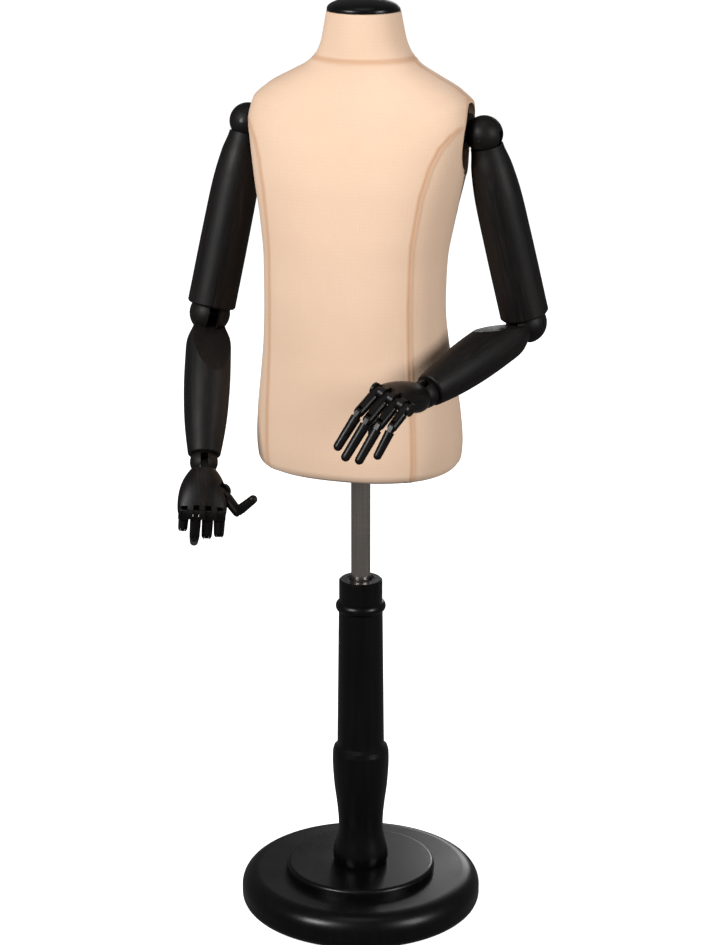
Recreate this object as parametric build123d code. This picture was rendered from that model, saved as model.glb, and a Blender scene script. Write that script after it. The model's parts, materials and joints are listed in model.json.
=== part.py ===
"""A child-size display form: a fabric-covered torso on a height-adjustable turned stand,
with a pair of jointed wooden arms and hands. Millimetres, +Z up, the figure faces -Y.
The origin is on the floor, under the middle of the stand."""
from build123d import *
from math import cos, pi, radians, sin, sqrt
import os

# ---- driving dimensions -------------------------------------------------------------------
# stand
FELT_T = 3.0                 # felt disc glued under the base
FELT_R = 125.0
BASE_R = 140.0
BASE_TOP = 43.0
STEP_R = 87.0
STEP_TOP = 53.0
COLUMN_TOP = 404.0
POLE_R = 11.0
POLE_WALL = 1.5
SLEEVE_R = 13.0
FIT = 0.05                   # radial running clearance of a shaft in its bore
POLE_BOTTOM = 245.0
BORE_BOTTOM = 108.0
# torso
TORSO_BOTTOM = 545.0
NECK_TOP = 1047.0
NECK_Y = 10.0
COVER_T = 1.4                # fabric and its thin padding
SHELL_T = 4.5
BOARD_T = 10.0
CAP_R = 40.0
CAP_H = 14.0
# arms, as built hanging straight down from the middle of the shoulder ball
SHOULDER = (136.0, 12.0, 920.0)
PLATE_LEAN = 8.0             # the plate faces outward and this much downward
SHOULDER_R = 20.5
ELBOW_R = 22.8
WRIST_R = 15.5
UPPER_LEN = 218.0
FOREARM_LEN = 178.0
PALM_LEN = 62.0
UPPER_END = 209.0
FOREARM_END = 170.0
CUP_GAP = 0.5                # between a ball and the cup that turns round it
SLOT_GAP = 0.3               # each side of a tongue in its slot
TONGUE = {"shoulder": (12.4, 8.0), "elbow": (12.4, 8.0), "wrist": (7.4, 6.0)}  # thickness, radius
PIN_R = {"shoulder": 2.5, "elbow": 3.0, "wrist": 2.0, "knuckle": 1.5, "middle": 1.25}
STEM_R = {"elbow": 6.0, "wrist": 4.5}
STEM_LEN = {"elbow": 34.0, "wrist": 26.0}
PLATE_BACK = -31.0           # plate faces, measured outward from the ball's middle
PLATE_FACE = -26.0
BOSS_FACE = -17.2
BOSS_R = 19.0
PLATE_HALF_H = 36.0
PLATE_HALF_W = 28.0
PLATE_DROP = 6.0            # middle of the plate below the shoulder bolt
# fingers: name, sideways place of the knuckle, fan angle, first length, outer length, radius
FINGERS = [
    ("index", -19.5, -2.0, 31.0, 47.0, 6.2),
    ("middle", -6.5, -0.5, 33.0, 50.0, 6.3),
    ("ring", 6.5, 1.0, 31.0, 47.0, 6.1),
    ("little", 19.5, 4.0, 26.0, 38.0, 5.7),
]
THUMB = ("thumb", -21.0, -45.0, 28.0, 34.0, 6.2)
THUMB_DOWN = 34.0            # thumb knuckle below the wrist
THUMB_IN = 2.0               # and towards the palm's inside
THUMB_TURN = -30.0           # thumb hinge turned towards the palm
KNUCKLE_PIN = 10.4           # its length
FINGER_TONGUE = 6.0
MIDDLE_TONGUE = 4.8
TIP_TAPER = 0.78
# pose of each arm at rest, in degrees
POSE = {
    "left": dict(swing=-9, lift=19, elbow_turn=22, elbow_bend=87, wrist_turn=-26, wrist_bend=24,
                 knuckle=dict(index=48, middle=50, ring=52, little=50, thumb=60),
                 middle=dict(index=20, middle=18, ring=18, little=24, thumb=40)),
    "right": dict(swing=10, lift=17, elbow_turn=38, elbow_bend=32, wrist_turn=-16, wrist_bend=6,
                  knuckle=dict(index=72, middle=70, ring=60, little=76, thumb=10),
                  middle=dict(index=70, middle=66, ring=46, little=66, thumb=-84)),
}
SIDES = {"left": 1, "right": -1}

parts = {}


# ---- small helpers ------------------------------------------------------------------------
def turned_curve(points, first, last):
    """A turned solid whose outside is one smooth curve through points, from the flat at first to last."""
    curve = Spline(*[(r, 0, z) for r, z in points])
    (r0, z0), (r1, z1) = points[0], points[-1]
    path = [(r1, z1), (r1, last), (0, last), (0, first), (r0, first), (r0, z0)]
    path = [p for i, p in enumerate(path) if i == 0 or sum(abs(a - b) for a, b in zip(p, path[i - 1])) > 1e-6]
    close = Polyline(*[(r, 0, z) for r, z in path])
    return revolve(make_face(Wire(curve.edges() + close.edges())), Axis.Z)


def rod(radius, start, end, axis="z"):
    """A cylinder from start to end along an axis through the origin."""
    turn = {"x": Rot(0, 90, 0), "y": Rot(-90, 0, 0), "z": Rot(0, 0, 0)}[axis]
    return turn * Pos(0, 0, start) * Cylinder(radius, end - start, align=(Align.CENTER, Align.CENTER, Align.MIN))


def outward_rod(radius, start, end, s):
    """A cylinder along X between two distances outward, on the side given by s."""
    return rod(radius, min(s * start, s * end), max(s * start, s * end), "x")


def block(x, y, z):
    """A box from three (low, high) pairs."""
    return Pos(x[0], y[0], z[0]) * Box(x[1] - x[0], y[1] - y[0], z[1] - z[0], align=(Align.MIN,) * 3)


def one(shape):
    """The single solid of a shape."""
    return max(shape.solids(), key=lambda s: s.volume)


# ---- stand --------------------------------------------------------------------------------
def make_stand():
    parts["base_felt"] = one(rod(FELT_R, 0, FELT_T))
    edge = (BASE_TOP - FELT_T) / 2
    bolt_r, head_r, washer_r = 5.0, 8.5, 14.0
    disc = rod(BASE_R, FELT_T, BASE_TOP)
    disc = fillet(disc.edges().filter_by(GeomType.CIRCLE).group_by(Axis.Z)[-1], edge * 0.98)
    disc = fillet(disc.edges().filter_by(GeomType.CIRCLE).group_by(Axis.Z)[0], edge * 0.6)
    recess_top = FELT_T + 11.0
    disc -= rod(washer_r + 1, 0, recess_top) + rod(bolt_r + FIT, 0, BASE_TOP + 1)
    parts["base_disc"] = one(disc)
    step = rod(STEP_R, BASE_TOP, STEP_TOP)
    step = fillet(step.edges().group_by(Axis.Z)[-1], 4.5)
    parts["base_step"] = one(step - rod(bolt_r + FIT, 0, STEP_TOP + 1))
    washer_top = recess_top
    washer = rod(washer_r, washer_top - 2, washer_top) - rod(bolt_r + FIT, 0, washer_top + 1)
    bolt_tip = 95.0
    hexagon = extrude(RegularPolygon(head_r, 6), 6.5)
    bolt = Pos(0, 0, washer_top - 8.5) * hexagon + rod(bolt_r, washer_top - 2.5, bolt_tip)
    parts["base_bolt"] = Compound([one(bolt), one(washer)])

    foot = [(31.0, STEP_TOP), (32.3, 63), (30.0, 76), (26.6, 91), (26.0, 103), (26.9, 117), (28.6, 132),
            (30.6, 147), (32.0, 163), (32.8, 179), (32.6, 192)]
    foot_curve = Spline(*[(r, 0, z) for r, z in foot])
    bead_z, bead_r = 371.5, 7.0
    shaft = Polyline((32.6, 0, 192), (31.2, 0, 197.5), (27.6, 0, 201), (27.2, 0, 205), (25.3, 0, bead_z - bead_r),
                     (24.9, 0, bead_z + bead_r), (24.9, 0, COLUMN_TOP - 1.8), (23.1, 0, COLUMN_TOP),
                     (0, 0, COLUMN_TOP), (0, 0, STEP_TOP), (31.0, 0, STEP_TOP))
    column = revolve(make_face(Wire(foot_curve.edges() + shaft.edges())), Axis.Z)
    column += Pos(0, 0, bead_z) * Torus(21.8, bead_r)
    bush_r, bush_len = 16.0, 22.0
    column -= rod(SLEEVE_R, BORE_BOTTOM, COLUMN_TOP + 1) + rod(bush_r, COLUMN_TOP - bush_len, COLUMN_TOP + 1)
    column -= rod(bolt_r, STEP_TOP - 1, bolt_tip + 2)
    parts["column"] = one(column)
    sleeve = rod(SLEEVE_R, BORE_BOTTOM, COLUMN_TOP - bush_len)
    parts["column_sleeve"] = one(sleeve - rod(POLE_R + 0.3, BORE_BOTTOM + 2, COLUMN_TOP))
    bush = rod(bush_r, COLUMN_TOP - bush_len, COLUMN_TOP - 0.8) - rod(POLE_R + FIT, 0, COLUMN_TOP + 1)
    bush -= rod(POLE_R + 2.5, COLUMN_TOP - 3.0, COLUMN_TOP + 1)
    parts["pole_bush"] = one(bush)


# ---- pole and its socket in the torso -----------------------------------------------------
SOCKET_TOP = 640.0


def make_pole():
    inner = POLE_R - POLE_WALL
    pole_top = SOCKET_TOP - 6.0
    parts["pole"] = one(rod(POLE_R, POLE_BOTTOM, pole_top) - rod(inner, POLE_BOTTOM - 1, pole_top + 1))
    plug = rod(inner, POLE_BOTTOM, POLE_BOTTOM + 26) + rod(POLE_R, POLE_BOTTOM - 7, POLE_BOTTOM)
    plug -= rod(3.0 + FIT, 0, POLE_BOTTOM + 40)
    parts["pole_expander"] = one(plug)
    screw = rod(3.0, POLE_BOTTOM - 7, POLE_BOTTOM + 34) + rod(6.0, POLE_BOTTOM - 10, POLE_BOTTOM - 7)
    parts["expander_screw"] = one(screw)
    board_top = TORSO_BOTTOM + 1.5 + BOARD_T
    flange_r, flange_t, socket_wall = 36.0, 3.0, 3.0
    flange = rod(flange_r, board_top, board_top + flange_t) + rod(POLE_R + socket_wall, board_top, SOCKET_TOP)
    flange -= rod(POLE_R + FIT, 0, SOCKET_TOP - 5.0)
    screw_circle, screw_r = 27.0, 2.0
    spots = [(screw_circle * cos(a), screw_circle * sin(a)) for a in (radians(45 + 90 * i) for i in range(4))]
    head_t, depth = 1.6, 8.0
    holes = [Pos(x, y, 0) * rod(screw_r, board_top - depth, board_top + flange_t) for x, y in spots]
    for hole in holes:
        flange -= hole
    parts["pole_flange"] = one(flange)
    screws = []
    for (x, y), hole in zip(spots, holes):
        screws.append(one(hole + Pos(x, y, 0) * rod(3.8, board_top + flange_t, board_top + flange_t + head_t)))
    return holes, board_top, screws


# ---- torso --------------------------------------------------------------------------------
# height, half width, half depth, middle (Y), squareness: the ellipse's exponent
TORSO_SECTIONS = [
    (545.0, 105.0, 83.0, -3.0, 2.3),
    (548.0, 110.5, 88.5, -3.0, 2.3),
    (556.0, 114.0, 92.0, -3.0, 2.3),
    (575.0, 115.3, 93.0, -3.5, 2.3),
    (610.0, 113.0, 91.5, -6.0, 2.3),
    (650.0, 107.5, 87.0, -11.0, 2.3),
    (690.0, 102.5, 81.5, -16.5, 2.3),
    (735.0, 100.2, 78.5, -20.0, 2.3),
    (780.0, 101.0, 79.5, -17.5, 2.3),
    (820.0, 106.0, 82.0, -12.0, 2.35),
    (860.0, 114.0, 82.0, -6.0, 2.4),
    (900.0, 121.5, 77.5, 0.0, 2.5),
    (930.0, 126.0, 70.0, 5.0, 2.6),
    (950.0, 123.0, 62.5, 8.0, 2.5),
    (965.0, 109.0, 56.0, 10.0, 2.3),
    (979.0, 84.0, 51.5, 11.5, 2.1),
    (990.0, 64.0, 49.5, 12.5, 2.0),
    (1002.0, 52.5, 47.5, 12.0, 2.0),
    (1016.0, 46.5, 45.0, 11.0, 2.0),
    (1032.0, 43.2, 42.3, 10.3, 2.0),
    (NECK_TOP, 40.3, 40.3, NECK_Y, 2.0),
]


def section(z, half_w, half_d, mid_y, power, inset):
    """A closed smooth outline at height z: an ellipse squared off by power, inset on all sides."""
    count = 28
    a, d = half_w - inset, half_d - inset
    points = []
    for i in range(count):
        t = 2 * pi * i / count
        c, s = cos(t), sin(t)
        points.append((a * abs(c) ** (2 / power) * (1 if c > 0 else -1) if abs(c) > 1e-9 else 0.0,
                       mid_y + (d * abs(s) ** (2 / power) * (1 if s > 0 else -1) if abs(s) > 1e-9 else 0.0), z))
    return Wire(Spline(*points, periodic=True).edges())


def form(inset, low, high):
    """The torso's outside, inset evenly, between two heights."""
    wires = [section(*row, inset) for row in TORSO_SECTIONS]
    body = Solid.make_loft(wires)
    wide = 400.0
    return body & block((-wide, wide), (-wide, wide), (low, high))


def plate_frame(side):
    """The frame of one shoulder: origin at the ball's middle, X outward along the bolt, Z up the plate."""
    s = SIDES[side]
    x, y, z = SHOULDER
    return Pos(s * x, y, z) * Rot(0, s * PLATE_LEAN, 0)


def oval(grow, start, end, side):
    """The arm plate's oval as a prism between two distances outward from the ball's middle."""
    s = SIDES[side]
    shape = Ellipse(PLATE_HALF_W + grow, PLATE_HALF_H + grow)
    plane = Plane(origin=(s * start, 0, -PLATE_DROP), x_dir=(0, 1, 0), z_dir=(s, 0, 0))
    return plate_frame(side) * extrude(plane * shape, end - start)


def make_torso(flange_holes, board_top):
    outer = form(0, TORSO_BOTTOM, NECK_TOP)
    shell_out = form(COVER_T, TORSO_BOTTOM + 1.5, NECK_TOP)
    hollow = form(COVER_T + SHELL_T, TORSO_BOTTOM + 1.5, NECK_TOP)
    for side in SIDES:
        pocket = oval(0.5, PLATE_BACK, 40, side)
        outer = outer - pocket
        shell_out = shell_out - pocket
        hollow = hollow - oval(SHELL_T, PLATE_BACK - SHELL_T, 60, side)
    parts["torso_cover"] = one(outer - form(COVER_T, TORSO_BOTTOM - 5, NECK_TOP + 5)
                               - board_opening())
    shell = shell_out - hollow
    bolt_hole = 4.0
    for side, s in SIDES.items():
        shell -= plate_frame(side) * outward_rod(bolt_hole, -60, 0, s)
        for hole in plate_screw_shapes(side, 0):
            shell -= hole
    parts["torso_shell"] = one(shell)
    board = form(COVER_T + SHELL_T, TORSO_BOTTOM + 1.5, board_top) - rod(POLE_R + 1.0, 0, 700)
    for hole in flange_holes:
        board -= hole
    parts["bottom_board"] = one(board)
    block_t, block_gap = 16.0, 1.0
    neck_block = Pos(0, NECK_Y, 0) * rod(CAP_R - COVER_T - SHELL_T - block_gap, NECK_TOP - block_t, NECK_TOP - 0.5)
    stud_r = 3.0
    neck_block -= Pos(0, NECK_Y, 0) * rod(stud_r, 0, NECK_TOP + 1)
    parts["neck_block"] = one(neck_block)
    edge_h = 2.0
    curve = [(CAP_R * cos(radians(a)), edge_h + (CAP_H - edge_h) * sin(radians(a))) for a in range(0, 91, 10)]
    cap = turned_curve(curve, 0, CAP_H) + rod(stud_r, -14, 0.5)
    parts["neck_cap"] = one(Pos(0, NECK_Y, NECK_TOP) * cap)


def board_opening():
    """What the cover leaves open under the torso, inside its turned-in edge."""
    first = TORSO_SECTIONS[0]
    turned_in = 14.0
    wire = section(0, first[1], first[2], first[3], first[4], turned_in)
    return extrude(make_face(wire), TORSO_BOTTOM + 3.0)


def plate_screw_shapes(side, head):
    """The three wood screws of an arm plate, with or without their heads."""
    s = SIDES[side]
    found = []
    for y, z in ((-18.5, -19.5), (18.5, -19.5), (0.0, 24.8)):
        place = plate_frame(side) * Pos(0, y, z)
        shank = outward_rod(1.7, PLATE_BACK - SHELL_T - 3, PLATE_FACE - 2.2, s)
        top = outward_rod(3.6, PLATE_FACE - 2.2, PLATE_FACE, s)
        found.append(place * (shank + top) if head else place * shank)
    return found


# ---- arms ---------------------------------------------------------------------------------
def cup(radius, at):
    return Pos(0, 0, at) * Sphere(radius + CUP_GAP)


def make_plate(side):
    s = SIDES[side]
    plate = oval(0, PLATE_BACK, PLATE_FACE, side)
    plate = chamfer(plate.faces().sort_by(Axis.X)[-1 if s > 0 else 0].edges(), 1.2)
    boss = outward_rod(BOSS_R, PLATE_FACE, BOSS_FACE, s)
    plate += plate_frame(side) * boss
    plate -= plate_frame(side) * rod(4.0, -60, 60, "x")
    for screw in plate_screw_shapes(side, 1):
        plate -= screw
    return one(plate)


def shoulder_bolt(side):
    s = SIDES[side]
    seat = PLATE_BACK - SHELL_T
    bolt = outward_rod(4.0, seat - 12, -11.5, s) + outward_rod(6.0, -11.5, -8.6, s)
    bolt += outward_rod(10.0, seat - 2, seat, s) + outward_rod(7.0, seat - 8.5, seat - 2, s)
    return one(plate_frame(side) * bolt)


def shoulder_ball():
    """Left ball, arm hanging: bolted on its inner side, slotted below and outward for the arm's tongue."""
    thick, reach = TONGUE["shoulder"]
    half, clear = thick / 2 + SLOT_GAP, reach + SLOT_GAP
    ball = Sphere(SHOULDER_R) & block((BOSS_FACE + 0.3, 40), (-40, 40), (-40, 40))
    ball -= block((-clear, 40), (-half, half), (-40, clear))
    ball -= rod(4.0 + FIT, -40, -10, "x") + rod(6.0 + 0.3, -11.8, 0, "x")
    ball -= rod(PIN_R["shoulder"], -40, 40, "y")
    return one(ball)


def pin(kind, radius, axis):
    """A hinge pin whose ends stay just under the ball's skin, with a slightly wider head."""
    r = PIN_R[kind]
    half = sqrt(radius**2 - (r + 1.6)**2) - 0.4
    return one(rod(r, -half, half, axis))


def tongue(kind, axis, top, clear_r):
    """A rounded tongue about the pin at the origin, running down to top, with the pin's running hole."""
    thick, reach = TONGUE[kind]
    body = rod(reach, -thick / 2, thick / 2, axis)
    across = (-thick / 2, thick / 2)
    if axis == "y":
        body += block((-reach, reach), across, (top, 0))
    else:
        body += block(across, (-reach, reach), (top, 0))
    return body, rod(PIN_R[kind] + FIT, -clear_r, clear_r, axis)


def upper_arm():
    rim, top = 17.9, -13.2
    outline = [(rim, top), (18.8, -20.0), (21.2, -30.0), (23.4, -44.0), (25.2, -62.0), (26.4, -100.0),
               (26.8, -150.0), (27.0, -UPPER_END + 2.0)]
    side = Spline(*[(r, 0, z) for r, z in outline])
    close = Polyline((27.0, 0, -UPPER_END + 2.0), (25.4, 0, -UPPER_END), (0, 0, -UPPER_END), (0, 0, top),
                     (rim, 0, top))
    arm = revolve(make_face(Wire(side.edges() + close.edges())), Axis.Z)
    body, hole = tongue("shoulder", "y", -30, 30)
    arm -= cup(SHOULDER_R, 0)
    arm += body
    arm -= hole
    arm -= cup(ELBOW_R, -UPPER_LEN)
    arm -= Pos(0, 0, -UPPER_LEN) * rod(STEM_R["elbow"] + FIT, 0, ELBOW_R + STEM_LEN["elbow"] + 1)
    return one(arm)


def slotted_ball(kind, radius, back):
    """A ball with a stem that turns in the limb above, slotted below for the limb that hinges on it."""
    thick, reach = TONGUE[kind]
    half, clear = thick / 2 + SLOT_GAP, reach + SLOT_GAP
    ball = Sphere(radius) + rod(STEM_R[kind], 0, radius + STEM_LEN[kind])
    ball -= block((-half, half), (-40, back), (-40, clear))
    ball -= rod(PIN_R[kind], -40, 40, "x")
    return one(ball)


def forearm():
    rim = 17.6
    outline = [(rim, -15.2), (19.6, -21.0), (23.6, -31.0), (25.4, -48.0), (25.8, -80.0), (25.1, -105.0),
               (23.4, -130.0), (21.0, -150.0), (18.0, -FOREARM_END + 1.2)]
    side = Spline(*[(r, 0, z) for r, z in outline])
    close = Polyline((18.0, 0, -FOREARM_END + 1.2), (16.9, 0, -FOREARM_END), (0, 0, -FOREARM_END), (0, 0, -15.2),
                     (rim, 0, -15.2))
    arm = revolve(make_face(Wire(side.edges() + close.edges())), Axis.Z)
    # the flat on the front that lets the elbow close to a right angle
    flat_start, flat_slope = 5.6, 19.0
    cutter = Pos(0, -flat_start, -20) * Rot(-flat_slope, 0, 0) * block((-40, 40), (-80, 0), (-120, 60))
    arm -= cutter
    body, hole = tongue("elbow", "x", -32, 30)
    arm -= cup(ELBOW_R, 0)
    arm += body - cutter
    arm -= hole
    arm -= cup(WRIST_R, -FOREARM_LEN)
    arm -= Pos(0, 0, -FOREARM_LEN) * rod(STEM_R["wrist"] + FIT, 0, WRIST_R + STEM_LEN["wrist"] + 1)
    return one(arm)


def digits():
    """Every digit as name, sideways place, drop, offset to the palm, fan, hinge turn, two lengths, radius."""
    rows = [(name, across, PALM_LEN, 0.0, fan, 0.0, first, outer, r)
            for name, across, fan, first, outer, r in FINGERS]
    name, across, fan, first, outer, r = THUMB
    return rows + [(name, across, THUMB_DOWN, THUMB_IN, fan, THUMB_TURN, first, outer, r)]


def knuckle_place(row, s=1):
    """Frame of a knuckle in the hand: X along its pin, -Z along the finger."""
    name, across, drop, inward, fan, turn = row[:6]
    return Pos(s * across, inward, -drop) * Rot(0, -s * fan, 0) * Rot(0, 0, s * turn)


def palm():
    """Palm hanging from the wrist at the origin, its inside facing +Y and its thumb towards -X."""
    rows = [(-8.0, 12.5, 10.5), (-18.0, 19.5, 13.0), (-32.0, 25.0, 13.6), (-46.0, 27.0, 11.6),
            (-56.0, 27.0, 9.2), (-PALM_LEN, 26.4, 7.9)]
    wires = [Wire((Pos(0, 0, z) * Ellipse(a, b)).edges()) for z, a, b in rows]
    hand = Solid.make_loft(wires)
    thumb = digits()[-1]
    place, wide, root_r, root_len = knuckle_place(thumb), thumb[-1] + 1.0, 8.1, 20.0
    hand -= place * block((-wide, wide), (-11.2, 24), (-24, 4))
    root = rod(root_r, 0, root_len) + Pos(0, 0, root_len) * Sphere(root_r) + rod(7.3, -6.8, 6.8, "x")
    hand += place * root
    hand += Pos(0, 0, -PALM_LEN) * rod(7.2, -25.8, 25.8, "x")
    hand -= cup(WRIST_R, 0)
    body, hole = tongue("wrist", "x", -18, 20)
    hand += body
    hand -= hole
    half, clear, reach = FINGER_TONGUE / 2 + SLOT_GAP, 5.4, 20
    for row in digits():
        place = knuckle_place(row)
        hand -= place * block((-half, half), (-reach, reach), (-reach, clear))
        hand -= place * rod(PIN_R["knuckle"], -KNUCKLE_PIN / 2, KNUCKLE_PIN / 2, "x")
    return one(hand)


def first_joint(length, radius):
    """First part of a finger, from the knuckle's pin at the origin to the middle pin."""
    end_r = radius * 0.93
    start = -8.4
    body = Pos(0, 0, start) * Rot(180, 0, 0) * Cone(radius, end_r, length + start,
                                                    align=(Align.CENTER, Align.CENTER, Align.MIN))
    body += Pos(0, 0, -length) * Sphere(end_r)
    body += block((-3.0, 3.0), (-4.6, 4.6), (start - 4, 0)) + rod(4.6, -3.0, 3.0, "x")
    body -= rod(PIN_R["knuckle"] + FIT, -10, 10, "x")
    half = MIDDLE_TONGUE / 2 + SLOT_GAP
    body -= Pos(0, 0, -length) * block((-half, half), (-10, 10), (-10, 4.7))
    body -= Pos(0, 0, -length) * rod(PIN_R["middle"], -10, 10, "x")
    return body


def first_joint_pin(length, radius):
    half = sqrt((radius * 0.93) ** 2 - PIN_R["middle"] ** 2) - 0.3
    return Pos(0, 0, -length) * rod(PIN_R["middle"], -half, half, "x")


def outer_joint(length, radius):
    """Outer part of a finger, from the middle pin at the origin to the fingertip."""
    start, top_r = -6.0, radius * 0.9
    tip_r = radius * TIP_TAPER
    body = Pos(0, 0, start) * Rot(180, 0, 0) * Cone(top_r, tip_r, length - tip_r + start,
                                                    align=(Align.CENTER, Align.CENTER, Align.MIN))
    body += Pos(0, 0, -(length - tip_r)) * Sphere(tip_r)
    half = MIDDLE_TONGUE / 2
    body += block((-half, half), (-4.2, 4.2), (start - 4, 0)) + rod(4.2, -half, half, "x")
    body -= rod(PIN_R["middle"] + FIT, -10, 10, "x")
    return body


def arm_places(side):
    """Rest frames of the moving parts of an arm, built for the left and mirrored for the right."""
    s = SIDES[side]
    pose = POSE[side]
    ball = plate_frame(side) * Rot(-pose["swing"], 0, 0)
    upper = ball * Rot(0, -s * pose["lift"], 0)
    elbow = upper * Pos(0, 0, -UPPER_LEN) * Rot(0, 0, -s * pose["elbow_turn"])
    fore = elbow * Rot(-pose["elbow_bend"], 0, 0)
    wrist = fore * Pos(0, 0, -FOREARM_LEN) * Rot(0, 0, -s * pose["wrist_turn"])
    hand = wrist * Rot(-pose["wrist_bend"], 0, 0)
    return dict(ball=ball, upper=upper, elbow=elbow, fore=fore, wrist=wrist, hand=hand)


def sided(shape, side):
    return shape if side == "left" else mirror(shape, about=Plane.YZ)


def make_arm(side):
    places = arm_places(side)
    put = {
        "shoulder_ball": ("ball", shoulder_ball()),
        "shoulder_pin": ("ball", pin("shoulder", SHOULDER_R, "y")),
        "upper_arm": ("upper", upper_arm()),
        "elbow_ball": ("elbow", slotted_ball("elbow", ELBOW_R, TONGUE["elbow"][1] + SLOT_GAP)),
        "elbow_pin": ("elbow", pin("elbow", ELBOW_R, "x")),
        "forearm": ("fore", forearm()),
        "wrist_ball": ("wrist", slotted_ball("wrist", WRIST_R, 40)),
        "wrist_pin": ("wrist", pin("wrist", WRIST_R, "x")),
        "palm": ("hand", palm()),
    }
    for name, (place, shape) in put.items():
        parts[f"{name}_{side}"] = one(places[place] * sided(shape, side))
    parts[f"arm_plate_{side}"] = make_plate(side)
    pins = []
    pose = POSE[side]
    for row in digits():
        name, (first, outer, r) = row[0], row[-3:]
        knuckle = places["hand"] * knuckle_place(row, SIDES[side])
        pins.append(one(knuckle * rod(PIN_R["knuckle"], -KNUCKLE_PIN / 2, KNUCKLE_PIN / 2, "x")))
        base = knuckle * Rot(pose["knuckle"][name], 0, 0)
        tip = base * Pos(0, 0, -first) * Rot(pose["middle"][name], 0, 0)
        parts[f"{name}_base_{side}"] = Compound([one(base * first_joint(first, r)),
                                                 one(base * first_joint_pin(first, r))])
        parts[f"{name}_tip_{side}"] = one(tip * outer_joint(outer, r))
    parts[f"knuckle_pins_{side}"] = Compound(pins)


def main():
    make_stand()
    flange_holes, board_top, flange_screws = make_pole()
    make_torso(flange_holes, board_top)
    for side in SIDES:
        make_arm(side)
    parts["shoulder_bolts"] = Compound([shoulder_bolt(side) for side in SIDES])
    plate_screws = [one(x) for side in SIDES for x in plate_screw_shapes(side, 1)]
    parts["wood_screws"] = Compound(flange_screws + plate_screws)
    os.makedirs("parts", exist_ok=True)
    for name, shape in parts.items():
        export_step(shape, f"parts/{name}.step")



main()
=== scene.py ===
"""Looks for the child-size dress form with jointed arms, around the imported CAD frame."""
import json
import math

import bpy
import numpy as np
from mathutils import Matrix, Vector


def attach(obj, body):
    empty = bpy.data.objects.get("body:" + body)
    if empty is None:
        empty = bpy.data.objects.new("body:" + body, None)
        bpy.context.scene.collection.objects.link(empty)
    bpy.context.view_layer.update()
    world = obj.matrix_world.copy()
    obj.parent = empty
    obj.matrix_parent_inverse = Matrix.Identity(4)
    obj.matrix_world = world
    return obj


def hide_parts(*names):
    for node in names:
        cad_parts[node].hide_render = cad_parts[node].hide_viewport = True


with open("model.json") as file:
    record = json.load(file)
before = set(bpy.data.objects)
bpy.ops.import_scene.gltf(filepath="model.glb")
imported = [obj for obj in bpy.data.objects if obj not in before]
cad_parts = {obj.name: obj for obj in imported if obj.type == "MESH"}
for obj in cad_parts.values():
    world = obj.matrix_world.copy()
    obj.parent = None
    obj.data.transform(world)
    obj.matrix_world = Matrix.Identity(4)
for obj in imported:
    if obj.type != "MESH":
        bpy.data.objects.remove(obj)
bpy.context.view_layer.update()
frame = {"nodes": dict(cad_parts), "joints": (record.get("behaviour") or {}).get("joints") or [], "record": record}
nodes = frame["nodes"]
joint_pos = {j["name"]: Vector(j["pos_m"]) for j in frame["joints"] if j.get("pos_m")}
scene = bpy.context.scene
SIDES = {"left": 1, "right": -1}
FINGERS = ("index", "middle", "ring", "little", "thumb")


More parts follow.
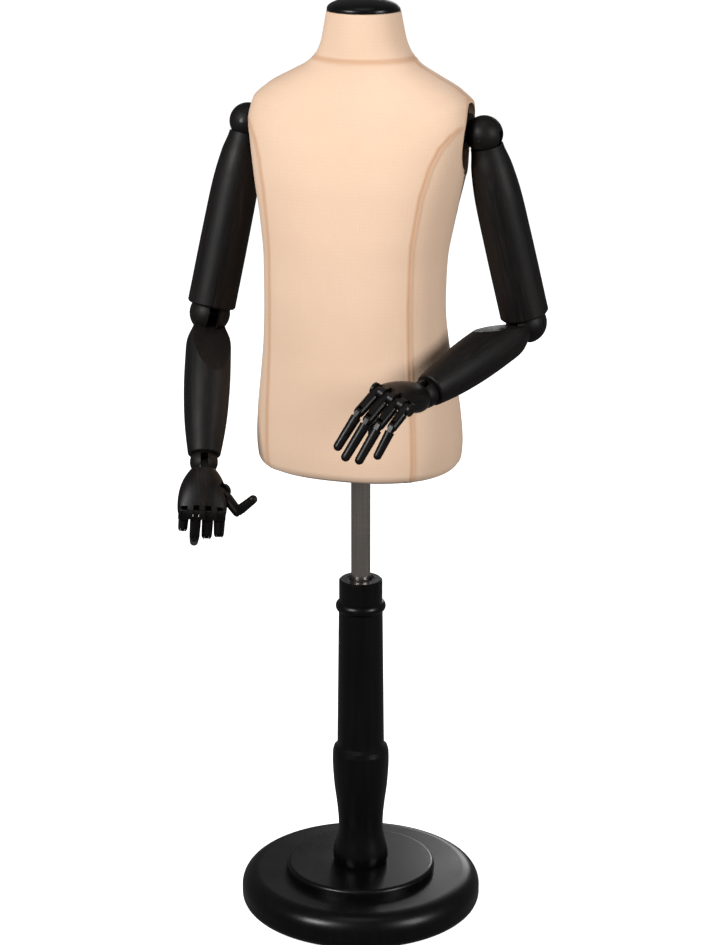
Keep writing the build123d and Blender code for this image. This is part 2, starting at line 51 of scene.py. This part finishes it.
# ---- node helpers -------------------------------------------------------------------------
class Shader:
    """A material being built. node() adds a node with its inputs set, and links maps inputs to sources.

    set() and link() act on the Principled shader. The other methods return the socket to read from.
    """

    def __init__(self, name):
        self.mat = bpy.data.materials.new(name)
        self.mat.use_nodes = True
        self.tree = self.mat.node_tree
        self.tree.nodes.clear()
        self.out = self.node("ShaderNodeOutputMaterial")
        self.bsdf = self.node("ShaderNodeBsdfPrincipled")
        self.tree.links.new(self.bsdf.outputs[0], self.out.inputs["Surface"])

    def node(self, kind, links=None, **values):
        made = self.tree.nodes.new(kind)
        for key, value in values.items():
            if key in made.inputs:
                made.inputs[key].default_value = value
            else:
                setattr(made, key, value)
        for key, source in (links or {}).items():
            self.tree.links.new(source, made.inputs[key])
        return made

    def set(self, **values):
        for key, value in values.items():
            self.bsdf.inputs[key.replace("_", " ")].default_value = value

    def link(self, source, key):
        self.tree.links.new(source, self.bsdf.inputs[key])

    def coords(self, scale=(1, 1, 1), rotation=(0, 0, 0)):
        """Object coordinates, turned and then stretched along the turned axes."""
        at = self.node("ShaderNodeTexCoord")
        turned = self.node("ShaderNodeMapping", {"Vector": at.outputs["Object"]}, Rotation=rotation)
        return self.node("ShaderNodeMapping", {"Vector": turned.outputs[0]}, Scale=scale).outputs[0]

    def noise(self, vector, scale, detail=3.0, roughness=0.5, distortion=0.0):
        return self.node("ShaderNodeTexNoise", {"Vector": vector}, Scale=scale, Detail=detail,
                         Roughness=roughness, Distortion=distortion).outputs["Fac"]

    def ramp(self, factor, *stops):
        made = self.node("ShaderNodeValToRGB", {"Fac": factor})
        while len(made.color_ramp.elements) < len(stops):
            made.color_ramp.elements.new(0.5)
        for element, (place, colour) in zip(made.color_ramp.elements, stops):
            element.position = place
            element.color = (*colour, 1)
        return made.outputs["Color"]

    def span(self, factor, low, high, start=0.0, end=1.0):
        """Factor's range start to end, mapped to low to high."""
        return self.node("ShaderNodeMapRange", {"Value": factor}, **{
            "From Min": start, "From Max": end, "To Min": low, "To Max": high}).outputs["Result"]

    def mix(self, factor, a, b):
        made = self.node("ShaderNodeMix", data_type="RGBA")
        for socket, value in ((made.inputs[0], factor), (made.inputs[6], a), (made.inputs[7], b)):
            if isinstance(value, bpy.types.NodeSocket):
                self.tree.links.new(value, socket)
            else:
                socket.default_value = value if isinstance(value, float) else (*value, 1)
        return made.outputs[2]

    def maths(self, operation, a, b):
        made = self.node("ShaderNodeMath", operation=operation)
        for socket, value in ((made.inputs[0], a), (made.inputs[1], b)):
            if isinstance(value, bpy.types.NodeSocket):
                self.tree.links.new(value, socket)
            else:
                socket.default_value = value
        return made.outputs[0]

    def bump(self, height, distance, strength=1.0, under=None):
        links = {"Height": height}
        if under is not None:
            links["Normal"] = under
        return self.node("ShaderNodeBump", links, Strength=strength, Distance=distance).outputs[0]


def to_z(direction):
    """Euler rotation that turns a direction onto Z, for grain that runs along it."""
    return tuple(Vector(direction).normalized().rotation_difference(Vector((0, 0, 1))).to_euler("XYZ"))


def rgb(*values):
    """Linear colour from display values of 0 to 255."""
    return tuple(((v / 255 + 0.055) / 1.055) ** 2.4 if v > 10 else v / 255 / 12.92 for v in values)


# ---- materials ----------------------------------------------------------------------------
def black_wood(name, direction, roughness, grain=1.0):
    """Hardwood stained black under a thin satin lacquer: brown shows faintly along the grain's direction."""
    s = Shader(name)
    turn = to_z(direction)
    along = s.coords((1, 1, 0.07), turn)
    fine = s.coords((1, 1, 0.035), turn)
    broad = s.noise(along, 90, 4, 0.6, 1.2)
    pores = s.noise(fine, 700, 3, 0.65)
    patches = s.noise(s.coords(), 28, 3, 0.5)
    stain = s.ramp(broad, (0.30, (0.0022, 0.0020, 0.0020)), (0.62, (0.0065, 0.0052, 0.0050)),
                   (0.80, (0.020, 0.014, 0.011)))
    lines = s.span(pores, 0.0, 0.35 * grain, 0.52, 0.72)
    colour = s.mix(lines, stain, (0.034, 0.023, 0.017))
    s.link(colour, "Base Color")
    worn = s.span(patches, roughness - 0.05, roughness + 0.07, 0.3, 0.7)
    s.link(s.maths("ADD", worn, s.span(pores, 0.0, 0.10, 0.45, 0.75)), "Roughness")
    low = s.bump(broad, 0.00025, 0.5)
    s.link(s.bump(pores, 0.00012, 0.55 * grain, low), "Normal")
    s.set(IOR=1.30, Coat_Weight=0.03, Coat_Roughness=0.35)
    return s.mat


def turned_black(name):
    """Turned wood under black lacquer: fine lathe rings, faint upright grain, softened by the lacquer."""
    s = Shader(name)
    at = s.node("ShaderNodeTexCoord").outputs["Object"]
    rings = s.node("ShaderNodeTexWave", {"Vector": at}, Scale=260, Distortion=1.5, Detail=2,
                   bands_direction="Z").outputs["Fac"]
    grain = s.noise(s.coords((1, 1, 0.05)), 160, 4, 0.6)
    peel = s.noise(s.coords(), 420, 2, 0.5)
    patches = s.noise(s.coords(), 14, 3, 0.5)
    s.link(s.ramp(grain, (0.35, (0.0012, 0.0012, 0.0013)), (0.75, (0.0036, 0.0034, 0.0032))), "Base Color")
    s.link(s.span(patches, 0.25, 0.36, 0.3, 0.7), "Roughness")
    first = s.bump(rings, 0.00004, 0.35)
    second = s.bump(grain, 0.00012, 0.35, first)
    s.link(s.bump(peel, 0.00006, 0.3, second), "Normal")
    s.set(IOR=1.33, Coat_Weight=0.06, Coat_Roughness=0.16)
    return s.mat


def brushed_steel(name):
    """Drawn steel tube with fine marks round it and lengthwise draw lines."""
    s = Shader(name)
    round_marks = s.noise(s.coords((0.6, 0.6, 30)), 60, 4, 0.7)
    draw_lines = s.noise(s.coords((1, 1, 0.01)), 900, 3, 0.6)
    smudge = s.noise(s.coords((1, 1, 0.5)), 30, 3, 0.5)
    s.link(s.ramp(draw_lines, (0.3, (0.50, 0.44, 0.40)), (0.7, (0.74, 0.66, 0.60))), "Base Color")
    dulled = s.span(smudge, 0.20, 0.30, 0.3, 0.7)
    s.link(s.maths("ADD", dulled, s.span(round_marks, 0.0, 0.12, 0.4, 0.7)), "Roughness")
    s.link(s.bump(round_marks, 0.00003, 0.4, s.bump(draw_lines, 0.00003, 0.4)), "Normal")
    s.set(Metallic=1.0, Anisotropic=0.45)
    return s.mat


def blacked_steel(name):
    """Blacked steel hardware with worn, lighter spots."""
    s = Shader(name)
    wear = s.noise(s.coords(), 900, 4, 0.6)
    s.link(s.ramp(wear, (0.45, (0.02, 0.02, 0.021)), (0.8, (0.10, 0.095, 0.09))), "Base Color")
    s.link(s.span(wear, 0.30, 0.5), "Roughness")
    s.link(s.bump(wear, 0.00005, 0.4), "Normal")
    s.set(Metallic=0.85)
    return s.mat


def moulded(name, colour, rough):
    """Moulded plastic with a fine spark texture."""
    s = Shader(name)
    spark = s.noise(s.coords(), 1400, 3, 0.6)
    tone = s.noise(s.coords(), 25, 3, 0.5)
    darker = tuple(c * 0.82 for c in colour)
    s.link(s.ramp(tone, (0.35, darker), (0.65, colour)), "Base Color")
    s.link(s.span(spark, rough - 0.05, rough + 0.08, 0.3, 0.7), "Roughness")
    s.link(s.bump(spark, 0.00006, 0.5), "Normal")
    return s.mat


def plywood(name):
    """Bare plywood, with its grain from front to back."""
    s = Shader(name)
    grain = s.noise(s.coords((1, 0.06, 1)), 90, 5, 0.6, 1.5)
    s.link(s.ramp(grain, (0.3, rgb(150, 112, 74)), (0.7, rgb(196, 158, 112))), "Base Color")
    s.link(s.span(grain, 0.55, 0.75), "Roughness")
    s.link(s.bump(grain, 0.0002, 0.5), "Normal")
    return s.mat


def felt(name):
    """Black felt with a loose, fuzzy face."""
    s = Shader(name)
    fuzz = s.noise(s.coords(), 1800, 5, 0.75)
    s.link(s.ramp(fuzz, (0.3, (0.004, 0.004, 0.004)), (0.75, (0.03, 0.03, 0.03))), "Base Color")
    s.link(s.bump(fuzz, 0.0004, 0.8), "Normal")
    s.set(Roughness=0.95, Sheen_Weight=0.4)
    return s.mat


WEAVE_PERIOD = 0.00124 * math.pi              # 3.9 mm, in the cloth's own coordinates
WAVE_SCALE = math.pi / 10 / WEAVE_PERIOD      # a wave texture has a period of pi / 10 at scale 1


def cover_cloth(name):
    """Cream stretch cloth: a faint plain weave with painted shade in the gaps between its threads, slubs, and
    warmer doubled cloth where the seam tint is.
    """
    s = Shader(name)
    at = s.node("ShaderNodeUVMap", uv_map="cloth").outputs[0]
    warp, weft = (s.node("ShaderNodeTexWave", {"Vector": at}, Scale=WAVE_SCALE, Distortion=0.35, Detail=1,
                         bands_direction=axis).outputs["Fac"] for axis in "XY")
    weave = s.maths("MAXIMUM", warp, weft)
    slub_u = s.noise(s.node("ShaderNodeMapping", {"Vector": at}, Scale=(1, 14, 1)).outputs[0], 60, 3, 0.6)
    slub_v = s.noise(s.node("ShaderNodeMapping", {"Vector": at}, Scale=(14, 1, 1)).outputs[0], 60, 3, 0.6)
    slub = s.maths("MULTIPLY", slub_u, slub_v)
    tone = s.noise(s.coords(), 9, 3, 0.5)
    base = s.ramp(tone, (0.3, rgb(241, 205, 175)), (0.7, rgb(246, 211, 182)))
    # painted shade: in the gaps between the threads the colour is mixed up to 7 percent towards a darker tone
    weave_gap_shade = s.mix(s.span(weave, 0.07, 0.0, 0.2, 0.9), base, rgb(214, 172, 138))
    slubbed = s.mix(s.span(slub, 0.0, 0.22, 0.22, 0.42), weave_gap_shade, rgb(250, 228, 206))
    seam = s.node("ShaderNodeAttribute", attribute_name="seam").outputs["Fac"]
    colour = s.mix(s.span(seam, 0.0, 0.66), slubbed, rgb(218, 166, 126))
    s.link(colour, "Base Color")
    fuzz = s.noise(s.coords(), 1500, 3, 0.6)
    height = s.maths("ADD", weave, s.maths("MULTIPLY", slub, 1.6))
    s.link(s.bump(height, 0.00012, 0.28, s.bump(fuzz, 0.0001, 0.35)), "Normal")
    s.link(s.span(fuzz, 0.78, 0.92, 0.3, 0.7), "Roughness")
    s.set(Sheen_Weight=0.25, Sheen_Roughness=0.5, Sheen_Tint=(1, 0.9, 0.8, 1))
    return s.mat


# ---- the torso's shape --------------------------------------------------------------------
# height, half width, half depth, middle (Y), squareness, in millimetres as in the CAD source
SECTIONS = np.array([
    (545.0, 105.0, 83.0, -3.0, 2.3),
    (548.0, 110.5, 88.5, -3.0, 2.3),
    (556.0, 114.0, 92.0, -3.0, 2.3),
    (575.0, 115.3, 93.0, -3.5, 2.3),
    (610.0, 113.0, 91.5, -6.0, 2.3),
    (650.0, 107.5, 87.0, -11.0, 2.3),
    (690.0, 102.5, 81.5, -16.5, 2.3),
    (735.0, 100.2, 78.5, -20.0, 2.3),
    (780.0, 101.0, 79.5, -17.5, 2.3),
    (820.0, 106.0, 82.0, -12.0, 2.35),
    (860.0, 114.0, 82.0, -6.0, 2.4),
    (900.0, 121.5, 77.5, 0.0, 2.5),
    (930.0, 126.0, 70.0, 5.0, 2.6),
    (950.0, 123.0, 62.5, 8.0, 2.5),
    (965.0, 109.0, 56.0, 10.0, 2.3),
    (979.0, 84.0, 51.5, 11.5, 2.1),
    (990.0, 64.0, 49.5, 12.5, 2.0),
    (1002.0, 52.5, 47.5, 12.0, 2.0),
    (1016.0, 46.5, 45.0, 11.0, 2.0),
    (1032.0, 43.2, 42.3, 10.3, 2.0),
    (1047.0, 40.3, 40.3, 10.0, 2.0),
])


def smooth_rows(z):
    """Section values at heights z (mm): a cubic through the table with limited slopes."""
    zs, values = SECTIONS[:, 0], SECTIONS[:, 1:]
    step = np.diff(zs)
    slope = np.diff(values, axis=0) / step[:, None]
    tangent = np.zeros_like(values)
    for i in range(1, len(zs) - 1):
        a, b = slope[i - 1], slope[i]
        w1, w2 = 2 * step[i] + step[i - 1], step[i] + 2 * step[i - 1]
        same = a * b > 0
        tangent[i] = np.where(same, (w1 + w2) / (w1 / np.where(same, a, 1) + w2 / np.where(same, b, 1)), 0)
    tangent[0], tangent[-1] = slope[0], slope[-1]
    k = np.clip(np.searchsorted(zs, z, side="right") - 1, 0, len(zs) - 2)
    h = step[k]
    t = (z - zs[k]) / h
    h00, h10 = 2 * t**3 - 3 * t**2 + 1, t**3 - 2 * t**2 + t
    h01, h11 = -2 * t**3 + 3 * t**2, t**3 - t**2
    return (h00[:, None] * values[k] + (h10 * h)[:, None] * tangent[k]
            + h01[:, None] * values[k + 1] + (h11 * h)[:, None] * tangent[k + 1])


# seams of the cover: height (mm) and angle from straight ahead (degrees), the same on both sides
FRONT_SEAM = np.array([
    (540, 48), (650, 46.5), (740, 45.5), (810, 47), (862, 52),
    (892, 57.5), (912, 63.5), (924, 70), (931, 77), (936, 86),
])
BACK_SEAM = np.array([
    (540, 140), (650, 142), (740, 144), (810, 143), (862, 138),
    (892, 133), (912, 127), (924, 120), (931, 112), (936, 104),
])
SIDE_SEAM = 97               # degrees from straight ahead
SEAM_AXIS_Y = 5              # the angles turn about an upright line at this Y
MM_PER_DEGREE = 1.75         # along the cloth, at the torso's mean radius
PRINCESS_TOP_Z = 933         # the front and back seams end at the armhole
SIDE_TOP_Z = 838             # the side seams end under the arm
SHOULDER_SEAM_Z = 953        # the shoulder seams run from here to the neck seam
SHOULDER_SEAM_X, SHOULDER_SEAM_Y = 20, 10       # beyond this X, along this Y
NECK_SEAM_Z = 997.5
NECK_SLOPE = 1.35            # cloth length per unit of height at the neck seam
FAR = 60                     # a distance at which a seam no longer shows
WAIST_Z, DRAG_LINES, DRAG_DEPTH = 735, 23, 0.12

# arm plates, in the shoulder's own leaning frame
SHOULDER_MM = (136.0, 12.0, 920.0)
PLATE_LEAN = math.radians(8)
PLATE_HALF_H, PLATE_HALF_W = 36.0, 28.0
PLATE_DROP = 6.0             # middle of the plate below the shoulder bolt
PLATE_FACE = -26.0           # the plate's outer face, measured outward from the shoulder ball's middle
PLATE_CLEAR = 1.2            # the cloth's opening is this much wider than the plate
PLATE_MEAN_R = 31            # turns a share of the oval's size into mm
OPENING = 0.93               # share of the oval inside which the cloth is left out, behind the plate
ARM_SIDE_X = 60              # points farther out than this belong to an armhole

COLUMNS = 420
ANGLES = np.linspace(0, 2 * np.pi, COLUMNS, endpoint=False)
HEM_Z, TOP_Z = 545.2, 1046.4
ROWS = ((HEM_Z, 560, 14), (562, 940, 190), (941.5, TOP_Z, 74))              # from, to, number of rows
HEM_ROWS = ((2.2, -0.15), (5, -0.2), (8, -0.15), (11, 0.0), (14, 0.1))      # inwards from the edge, and up
CLOTH_RADIUS = 0.105         # metres: turns an angle round the body into a length of cloth
CLOTH_THICKNESS = 0.0011


def ring_quads(rows, cols):
    """Quads over a grid of points whose columns close into rings."""
    index = np.arange(rows * cols).reshape(rows, cols)
    right = np.roll(index, -1, axis=1)
    return np.stack([index[:-1], right[:-1], right[1:], index[1:]], axis=-1).reshape(-1, 4)


def make_object(name, verts, faces, mat, smooth=True):
    """A mesh object with one material, linked into the scene."""
    mesh = bpy.data.meshes.new(name)
    mesh.from_pydata([tuple(v) for v in verts], [], [tuple(int(i) for i in f) for f in faces])
    mesh.update()
    if smooth:
        mesh.shade_smooth()
    obj = bpy.data.objects.new(name, mesh)
    scene.collection.objects.link(obj)
    obj.data.materials.append(mat)
    return obj


def below(z, height, soft):
    """1 below a height and 0 above it, with a soft step between."""
    return 1 / (1 + np.exp((z - height) / soft))


def seam_profile(distance):
    """(height, tint) of the cloth at a distance from a seam: a sunk stitch line between doubled edges."""
    d = np.minimum(np.abs(distance), FAR)
    line = -0.55 * np.exp(-((d / 0.75) ** 2))
    doubled = 0.42 / (1 + np.exp((d - 4.2) / 0.45))
    tint = 1 / (1 + np.exp((d - 3.6) / 0.7))
    return line + doubled, tint


def body_points(row_z):
    """Points (rows, columns, 3) on the torso at heights row_z, and the unit normals there."""
    half_width, half_depth, middle, power = (column[:, None] for column in smooth_rows(row_z).T)
    c, s = np.cos(ANGLES)[None], np.sin(ANGLES)[None]
    x = half_width * np.abs(c) ** (2 / power) * np.sign(c)
    y = middle + half_depth * np.abs(s) ** (2 / power) * np.sign(s)
    p = np.stack([x, y, np.broadcast_to(row_z[:, None], x.shape)], axis=-1)
    du = np.roll(p, -1, axis=1) - np.roll(p, 1, axis=1)
    dv = np.gradient(p, axis=0)
    normal = np.cross(du, dv)
    normal /= np.linalg.norm(normal, axis=-1, keepdims=True) + 1e-9
    return p, normal


def seam_relief(p, row_z):
    """(height, tint) of the cloth at each point, from its distance along the cloth to every seam."""
    x, y, z = p[..., 0], p[..., 1], p[..., 2]
    ahead = np.degrees(np.arctan2(x, -(y - SEAM_AXIS_Y)))
    reach = np.hypot(x, y - SEAM_AXIS_Y)
    lift, tint = np.zeros(z.shape), np.zeros(z.shape)

    def add(distance, weight=1.0):
        height, colour = seam_profile(distance)
        np.copyto(lift, np.where(np.abs(height * weight) > np.abs(lift), height * weight, lift))
        np.copyto(tint, np.maximum(tint, colour * weight))

    below_neck = below(z, NECK_SEAM_Z, 1.2)
    for side in SIDES.values():
        for seam in (FRONT_SEAM, BACK_SEAM):
            at = np.interp(z, seam[:, 0], seam[:, 1])
            slant = np.cos(np.arctan(np.gradient(at[:, 0]) / np.gradient(row_z) * MM_PER_DEGREE))[:, None]
            add(np.radians(ahead * side - at) * reach * slant, below(z, PRINCESS_TOP_Z, 1.0))
        add(np.radians(ahead * side - SIDE_SEAM) * reach, below(z, SIDE_TOP_Z, 1.5))
    behind = np.abs(ahead) > 90
    add(np.where(behind, np.radians(np.abs(ahead) - 180) * reach, FAR), below_neck)
    on_shoulder = below(-z, -SHOULDER_SEAM_Z, 1.0) * below_neck
    for side in SIDES.values():
        distance = np.where(x * side > SHOULDER_SEAM_X, y - SHOULDER_SEAM_Y, FAR)
        add(distance, np.where(on_shoulder > 0.5, on_shoulder, 0))
    add((z - NECK_SEAM_Z) * NECK_SLOPE)
    # very slight drag lines in the stretched cloth round the waist; 57.3 degrees are one radian
    waves = np.sin(ahead / 57.3 * DRAG_LINES + 3 * np.sin(z / 31))
    drag = DRAG_DEPTH * waves * np.exp(-((z - WAIST_Z) / 60) ** 2)
    return lift + drag, tint


def turn_in_armholes(p, normal, tint):
    """The cloth turned in behind each oval plate, with a soft piped edge; also which points are left out."""
    hidden = np.zeros(tint.shape, bool)
    for side in SIDES.values():
        rel = p - np.array([side * SHOULDER_MM[0], SHOULDER_MM[1], SHOULDER_MM[2]])
        outward = np.array([side * math.cos(PLATE_LEAN), 0, -math.sin(PLATE_LEAN)])
        up = np.array([side * math.sin(PLATE_LEAN), 0, math.cos(PLATE_LEAN)])
        depth, rise, across = rel @ outward, rel @ up + PLATE_DROP, rel[..., 1]
        near = p[..., 0] * side > ARM_SIDE_X
        r = np.hypot(across / (PLATE_HALF_W + PLATE_CLEAR), rise / (PLATE_HALF_H + PLATE_CLEAR))
        gap = (r - 1) * PLATE_MEAN_R             # roughly mm outside the opening's edge
        roll_in = np.clip((3.2 - gap) / 3.2, 0, 1) ** 2 * near
        target = np.minimum(depth, PLATE_FACE - 1.5)
        p = p + outward * ((target - depth) * roll_in)[..., None]
        piping = np.exp(-((gap - 3.6) / 1.6) ** 2) * 0.5 * near
        p = p + normal * piping[..., None]
        tint = np.maximum(tint, np.exp(-((gap - 3.2) / 2.4) ** 2) * 0.7 * near)
        hidden |= (r < OPENING) & near
    return p, tint, hidden


def hem(rim):
    """Rings of cloth turned in under the lower edge, innermost first, with small gathers."""
    centre = np.array([0, rim[:, 1].mean(), HEM_Z])
    out = rim - centre
    gathers = 0.28 * np.sin(ANGLES * 46 + 1.5 * np.sin(ANGLES * 5))
    rings = []
    for inset, rise in HEM_ROWS:
        ring = centre + out * (1 - inset / np.linalg.norm(out[:, :2], axis=1))[:, None]
        ring[:, 2] = HEM_Z + rise + 0.25 + gathers * min(1, inset / 8)
        rings.append(ring)
    return np.array(rings[::-1])


def torso_cover():
    """The fitted cover as one sheet, with its seam tint and its cloth coordinates on the mesh."""
    row_z = np.concatenate([np.linspace(*rows) for rows in ROWS])
    p, normal = body_points(row_z)
    relief, tint = seam_relief(p, row_z)
    p, tint, hidden = turn_in_armholes(p + normal * relief[..., None], normal, tint)
    lower = hem(p[0])
    p = np.concatenate([lower, p])
    tint = np.concatenate([np.zeros(lower.shape[:2]), tint])
    hidden = np.concatenate([np.zeros(lower.shape[:2], bool), hidden])

    quads = ring_quads(*p.shape[:2])
    quads = quads[~hidden.reshape(-1)[quads].all(axis=1)]
    used = np.unique(quads)
    renumbered = np.full(hidden.size, -1)
    renumbered[used] = np.arange(len(used))
    flat_p = p.reshape(-1, 3)
    obj = make_object("torso_cloth", flat_p[used] / 1000, renumbered[quads], cover_cloth("cover_cloth"))
    colour = obj.data.color_attributes.new("seam", "FLOAT_COLOR", "POINT")
    values = np.ones((len(used), 4), np.float32)
    values[:, :3] = tint.reshape(-1)[used][:, None]
    colour.data.foreach_set("color", values.ravel())

    # cloth coordinates in metres: round the body, and up it by the length of the cloth at the back
    around = (np.arctan2(flat_p[:, 0], -(flat_p[:, 1] - SEAM_AXIS_Y)) * CLOTH_RADIUS)[used]
    steps = np.linalg.norm(np.diff(p[:, COLUMNS // 4], axis=0), axis=1)
    along = np.repeat(np.concatenate([[0], np.cumsum(steps)]) / 1000, COLUMNS)[used]
    uv = obj.data.uv_layers.new(name="cloth")
    loops = np.empty(len(obj.data.loops), np.int32)
    obj.data.loops.foreach_get("vertex_index", loops)
    u = around[loops].reshape(-1, 4)
    split = (u.max(axis=1) - u.min(axis=1)) > 0.3          # quads across the line where the angle jumps
    u[split] = np.where(u[split] < 0, u[split] + 2 * np.pi * CLOTH_RADIUS, u[split])
    uv.data.foreach_set("uv", np.stack([u.ravel(), along[loops]], axis=-1).astype(np.float32).ravel())
    solid = obj.modifiers.new("thickness", "SOLIDIFY")
    solid.thickness, solid.offset = CLOTH_THICKNESS, -1
    return obj


cover = torso_cover()
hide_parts("torso_cover")
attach(cover, "torso")

# ---- materials onto the CAD nodes ---------------------------------------------------------
ARM_ROUGHNESS, PLATE_ROUGHNESS, HAND_ROUGHNESS, FINGER_ROUGHNESS = 0.50, 0.55, 0.34, 0.30
turned = turned_black("lacquered_turned_wood")
slots = {
    "bright_steel": brushed_steel("drawn_steel"),
    "hardware": blacked_steel("blacked_steel"),
    "nylon": moulded("black_nylon", (0.02, 0.02, 0.021), 0.5),
    "shell": moulded("moulded_shell", rgb(238, 204, 172), 0.6),
    "board": plywood("plywood"),
    "felt": felt("felt"),
}


def paint(node, mat):
    """Gives a CAD node one material."""
    mesh = nodes[node].data
    mesh.materials.clear()
    mesh.materials.append(mat)


for row in frame["record"]["subparts"]:
    if row["material_slot"] in slots:
        paint(row["node"], slots[row["material_slot"]])
for node in ("base_disc", "base_step", "column", "neck_cap"):
    paint(node, turned)
for side in SIDES:
    shoulder, elbow = joint_pos[f"shoulder_lift_{side}"], joint_pos[f"elbow_bend_{side}"]
    wrist, knuckle = joint_pos[f"wrist_bend_{side}"], joint_pos[f"middle_knuckle_{side}"]
    lines = {
        "upper": (shoulder - elbow, ("upper_arm", "elbow_ball", "shoulder_ball")),
        "fore": (elbow - wrist, ("forearm", "wrist_ball")),
        "hand": (wrist - knuckle, ("palm",)),
    }
    for key, (direction, names) in lines.items():
        roughness = HAND_ROUGHNESS if key == "hand" else ARM_ROUGHNESS
        mat = black_wood(f"black_wood_{key}_{side}", direction, roughness)
        for name in names:
            paint(f"{name}_{side}", mat)
    paint(f"arm_plate_{side}", black_wood(f"black_wood_plate_{side}", (0, 0, 1), PLATE_ROUGHNESS))
    for finger in FINGERS:
        first, second = joint_pos[f"{finger}_knuckle_{side}"], joint_pos[f"{finger}_middle_{side}"]
        lacquer = black_wood(f"black_wood_{finger}_{side}", first - second, FINGER_ROUGHNESS, 0.6)
        for part in ("base", "tip"):
            paint(f"{finger}_{part}_{side}", lacquer)


# ---- studio -------------------------------------------------------------------------------
def light(name, place, target, size, power):
    """A white area light that faces its target; size in metres, power in watts."""
    data = bpy.data.lights.new(name, "AREA")
    data.shape, data.size, data.size_y = "RECTANGLE", *size
    data.energy = power
    obj = bpy.data.objects.new(name, data)
    scene.collection.objects.link(obj)
    obj.location = place
    obj.rotation_euler = (Vector(target) - Vector(place)).to_track_quat("-Z", "Y").to_euler()


CAMERA_AZIMUTH, CAMERA_PITCH = math.radians(19), math.radians(17)
CAMERA_DISTANCE, CAMERA_HEIGHT = 2.8, 1.3865
CAMERA_LENS, CAMERA_SENSOR, CAMERA_SHIFT = 98.8, 36, -0.0066
FLOOR_HALF = 9.0             # metres
FLOOR_GLOW = 0.95            # lifts the paper to white without lighting the form
WORLD_LIGHT = 0.12           # the world's strength as a light; the camera sees it at 1


def around(azimuth, distance, height):
    """A place at an angle from straight ahead, in degrees towards +X, and a distance from the form's axis."""
    a = math.radians(azimuth)
    return (distance * math.sin(a), -distance * math.cos(a), height)


def studio():
    """White paper, a white world that lights only faintly, four soft lights and the camera."""
    floor_mat = Shader("floor_paper")
    mottle = floor_mat.noise(floor_mat.coords(), 3, 2, 0.5)
    floor_mat.link(floor_mat.ramp(mottle, (0.3, (0.90, 0.90, 0.90)), (0.7, (0.93, 0.93, 0.93))), "Base Color")
    floor_mat.set(Roughness=0.6, Emission_Color=(1, 1, 1, 1), Emission_Strength=FLOOR_GLOW)
    corners = [(x * FLOOR_HALF, y * FLOOR_HALF, 0) for x, y in ((-1, -1), (1, -1), (1, 1), (-1, 1))]
    floor = make_object("studio_floor", corners, [(0, 1, 2, 3)], floor_mat.mat, smooth=False)
    floor.visible_diffuse = floor.visible_glossy = False
    world = bpy.data.worlds.new("studio_world")
    world.use_nodes = True
    tree = world.node_tree
    back = tree.nodes["Background"]
    back.inputs["Color"].default_value = (1, 1, 1, 1)
    seen = tree.nodes.new("ShaderNodeLightPath").outputs["Is Camera Ray"]
    strength = tree.nodes.new("ShaderNodeMapRange")
    strength.inputs["To Min"].default_value = WORLD_LIGHT
    strength.inputs["To Max"].default_value = 1.0
    tree.links.new(seen, strength.inputs["Value"])
    tree.links.new(strength.outputs[0], back.inputs["Strength"])
    scene.world = world

    light("key", around(-27, 2.6, 1.95), (0, 0, 0.85), (1.0, 1.0), 68)
    light("fill", around(72, 3.0, 1.6), (0, 0, 0.8), (1.0, 1.4), 52)
    light("top", (0.1, -0.5, 3.2), (0, 0, 0.0), (1.2, 1.2), 5)
    light("back", around(185, 3.2, 1.2), (0, 0, 0.85), (1.2, 1.0), 15)

    data = bpy.data.cameras.new("camera")
    data.sensor_width = data.sensor_height = CAMERA_SENSOR
    data.lens, data.shift_x = CAMERA_LENS, CAMERA_SHIFT
    cam = bpy.data.objects.new("camera", data)
    scene.collection.objects.link(cam)
    cam.location = around(math.degrees(CAMERA_AZIMUTH), CAMERA_DISTANCE, CAMERA_HEIGHT)
    cam.rotation_euler = (math.pi / 2 - CAMERA_PITCH, 0, CAMERA_AZIMUTH)
    scene.camera = cam
    scene.view_settings.view_transform = "Standard"
    scene.view_settings.look = "None"


studio()
